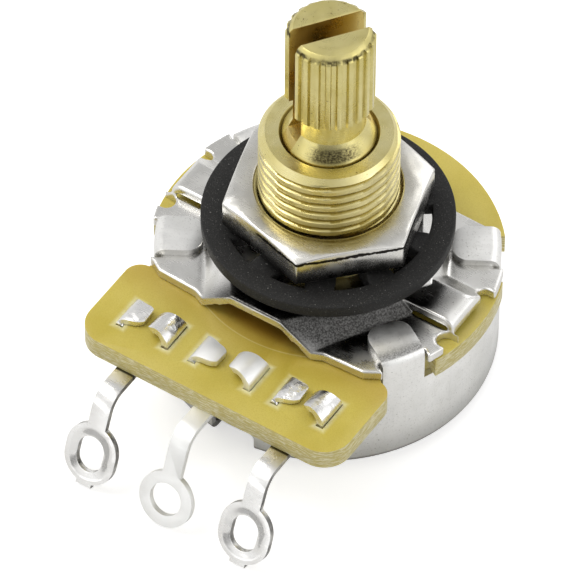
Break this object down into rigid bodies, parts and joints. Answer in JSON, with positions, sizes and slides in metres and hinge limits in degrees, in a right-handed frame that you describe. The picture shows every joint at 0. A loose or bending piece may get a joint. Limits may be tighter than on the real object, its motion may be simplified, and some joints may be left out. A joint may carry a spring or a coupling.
{
  "type": "rotary potentiometer",
  "caption": "Panel-mount rotary potentiometer: threaded brass bushing with nut and lock washer, split splined shaft, round metal case and solder terminals on a yellow wafer.",
  "frame": {"origin": "centre of the back of the case, on the shaft's axis", "axes": "+Z along the shaft towards its splined end, -Y towards the solder terminals, +X to the right seen from the terminals with the shaft up"},
  "size_m": [0.0242, 0.0327, 0.0308],
  "materials": {
    "case_nickel": "satin nickel plate",
    "plate_nickel": "bright nickel plate",
    "brass": "machined brass",
    "nut_nickel": "polished nickel plate",
    "black_oxide": "matt black oxide",
    "wafer_laminate": "translucent yellow glass-epoxy laminate",
    "carbon_film": "printed carbon",
    "silver_film": "printed silver",
    "tinned": "tin plate, satin",
    "plain_steel": "plain sheet steel",
    "rotor_phenolic": "brown laminate",
    "spring_bronze": "bronze strip"
  },
  "bodies": {
    "housing": {"case": "case_nickel", "mounting_plate": "plate_nickel", "bushing": "brass", "hex_nut": "nut_nickel", "lock_washer": "black_oxide", "wafer": "wafer_laminate", "resistive_track": "carbon_film", "end_pad_left": "silver_film", "end_pad_right": "silver_film", "terminal_left": "tinned", "terminal_middle": "tinned", "terminal_right": "tinned"},
    "rotor": {"shaft": "brass", "thrust_washer": "plain_steel", "retaining_ring": "plain_steel", "rotor_disc": "rotor_phenolic", "contact_spring": "spring_bronze", "stop_plate": "plain_steel"}
  },
  "joints": [
    {"name": "shaft_turn", "type": "hinge", "parent": "housing", "child": "rotor", "pos_m": [0, 0, 0], "axis": [0, 0, 1], "range_deg": [-150, 150]}
  ]
}
